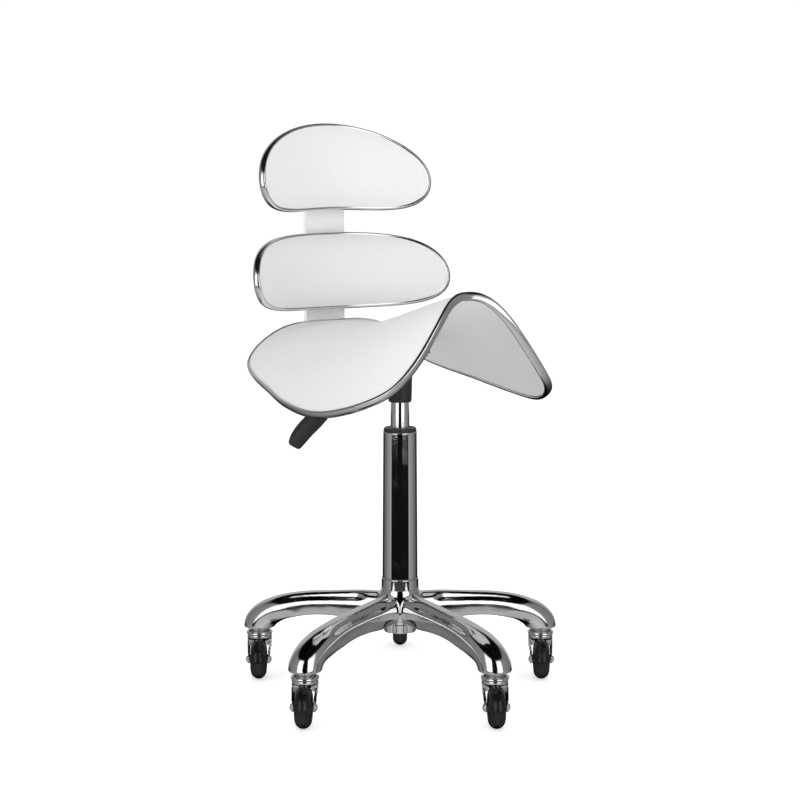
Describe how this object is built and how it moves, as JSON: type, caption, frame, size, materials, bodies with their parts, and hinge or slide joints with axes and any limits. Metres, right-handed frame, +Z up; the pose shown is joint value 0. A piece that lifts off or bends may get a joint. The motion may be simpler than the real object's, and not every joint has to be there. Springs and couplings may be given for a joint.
{
  "type": "rolling stylist stool",
  "caption": "Saddle seat with a wrap-around backrest in two pads, on a gas-lift column and a star base with swivelling casters.",
  "frame": {"origin": "on the floor, on the column's axis", "axes": "+Z up along the column; one leg of the base points along +Y; the seat faces between +X and -Y at rest, turned 57 degrees from +X towards -Y"},
  "size_m": [0.4862, 0.521, 0.8532],
  "materials": {
    "polished_casting": "polished and chromed",
    "chrome": "mirror chrome",
    "trim_chrome": "metallised edge band",
    "steel": "plain zinc-plated",
    "black_steel": "satin black paint",
    "white_steel": "satin white powder coat",
    "black_plastic": "fine moulded grain",
    "tread": "satin polyurethane",
    "rubber": "matt",
    "white_leather": "soft-grain artificial leather",
    "white_back": "smooth artificial leather on board",
    "plywood": "bare moulded plywood"
  },
  "bodies": {
    "base": {"base_casting": "polished_casting", "column_tube": "chrome", "guide_bush": "black_plastic", "thrust_race": "steel", "caster_stems": "steel", "stem_grip_rings": "steel", "race_cups": "chrome", "swivel_balls": "steel"},
    "lift_rod": {"piston_rod": "steel", "piston": "steel", "upper_race_washer": "steel", "bump_stop": "rubber", "retaining_clip": "steel"},
    "seat": {"gas_cylinder": "chrome", "socket_tube": "black_steel", "mounting_plate": "black_steel", "lever_bracket": "black_steel", "lever_pivot_pin": "steel", "mounting_block": "plywood", "seat_shell": "plywood", "seat_pad": "white_leather", "seat_cover": "white_leather", "seat_trim": "trim_chrome", "plate_bolts": "steel", "seat_t_nuts": "steel", "backrest_bar": "white_steel", "backrest_spacers": "black_plastic", "backrest_bolts": "steel", "backrest_t_nuts": "steel", "upper_back_shell": "plywood", "upper_back_pad": "white_leather", "upper_back_cover": "white_back", "upper_back_trim": "trim_chrome", "lower_back_shell": "plywood", "lower_back_pad": "white_leather", "lower_back_cover": "white_back", "lower_back_trim": "trim_chrome"},
    "release_pin": {"release_pin": "steel"},
    "lever": {"lever_rod": "black_steel", "lever_paddle": "black_plastic"},
    "fork_1": {"caster_fork_1": "chrome", "caster_axle_1": "chrome"},
    "wheel_1": {"wheel_hub_1": "black_plastic", "tyre_1": "tread"},
    "fork_2": {"caster_fork_2": "chrome", "caster_axle_2": "chrome"},
    "wheel_2": {"wheel_hub_2": "black_plastic", "tyre_2": "tread"},
    "fork_3": {"caster_fork_3": "chrome", "caster_axle_3": "chrome"},
    "wheel_3": {"wheel_hub_3": "black_plastic", "tyre_3": "tread"},
    "fork_4": {"caster_fork_4": "chrome", "caster_axle_4": "chrome"},
    "wheel_4": {"wheel_hub_4": "black_plastic", "tyre_4": "tread"},
    "fork_5": {"caster_fork_5": "chrome", "caster_axle_5": "chrome"},
    "wheel_5": {"wheel_hub_5": "black_plastic", "tyre_5": "tread"}
  },
  "joints": [
    {"name": "seat_swivel", "type": "hinge", "parent": "base", "child": "lift_rod", "pos_m": [0, 0, 0.1], "axis": [0, 0, 1], "continuous": true},
    {"name": "gas_lift", "type": "slide", "parent": "lift_rod", "child": "seat", "axis": [0, 0, 1], "range_m": [-0.02, 0.15]},
    {"name": "lever_lift", "type": "hinge", "parent": "seat", "child": "lever", "pos_m": [-0.02516, -0.01634, 0.506], "axis": [-0.5446, 0.8387, 0], "range_deg": [0, 8], "stiffness_Nm_per_rad": 3, "springref_deg": -5.73},
    {"name": "release_press", "type": "slide", "parent": "seat", "child": "release_pin", "axis": [0, 0, -1], "range_m": [0, 0.005]},
    {"name": "caster_swivel_1", "type": "hinge", "parent": "base", "child": "fork_1", "pos_m": [0, 0.23, 0.0658], "axis": [0, 0, 1], "continuous": true},
    {"name": "wheel_spin_1", "type": "hinge", "parent": "fork_1", "child": "wheel_1", "pos_m": [0, 0.252, 0.0305], "axis": [-1, 0, 0], "continuous": true},
    {"name": "caster_swivel_2", "type": "hinge", "parent": "base", "child": "fork_2", "pos_m": [-0.21874, 0.07107, 0.0658], "axis": [0, 0, 1], "continuous": true},
    {"name": "wheel_spin_2", "type": "hinge", "parent": "fork_2", "child": "wheel_2", "pos_m": [-0.21874, 0.04907, 0.0305], "axis": [1, 0, 0], "continuous": true},
    {"name": "caster_swivel_3", "type": "hinge", "parent": "base", "child": "fork_3", "pos_m": [-0.13519, -0.18607, 0.0658], "axis": [0, 0, 1], "continuous": true},
    {"name": "wheel_spin_3", "type": "hinge", "parent": "fork_3", "child": "wheel_3", "pos_m": [-0.13634, -0.20804, 0.0305], "axis": [0.9986, -0.0523, 0], "continuous": true},
    {"name": "caster_swivel_4", "type": "hinge", "parent": "base", "child": "fork_4", "pos_m": [0.13519, -0.18607, 0.0658], "axis": [0, 0, 1], "continuous": true},
    {"name": "wheel_spin_4", "type": "hinge", "parent": "fork_4", "child": "wheel_4", "pos_m": [0.13634, -0.20804, 0.0305], "axis": [0.9986, 0.0523, 0], "continuous": true},
    {"name": "caster_swivel_5", "type": "hinge", "parent": "base", "child": "fork_5", "pos_m": [0.21874, 0.07107, 0.0658], "axis": [0, 0, 1], "continuous": true},
    {"name": "wheel_spin_5", "type": "hinge", "parent": "fork_5", "child": "wheel_5", "pos_m": [0.21874, 0.04907, 0.0305], "axis": [1, 0, 0], "continuous": true}
  ],
  "couplings": [
    {"joint": "release_press", "follows": "lever_lift", "m_per_rad": 0.034}
  ]
}
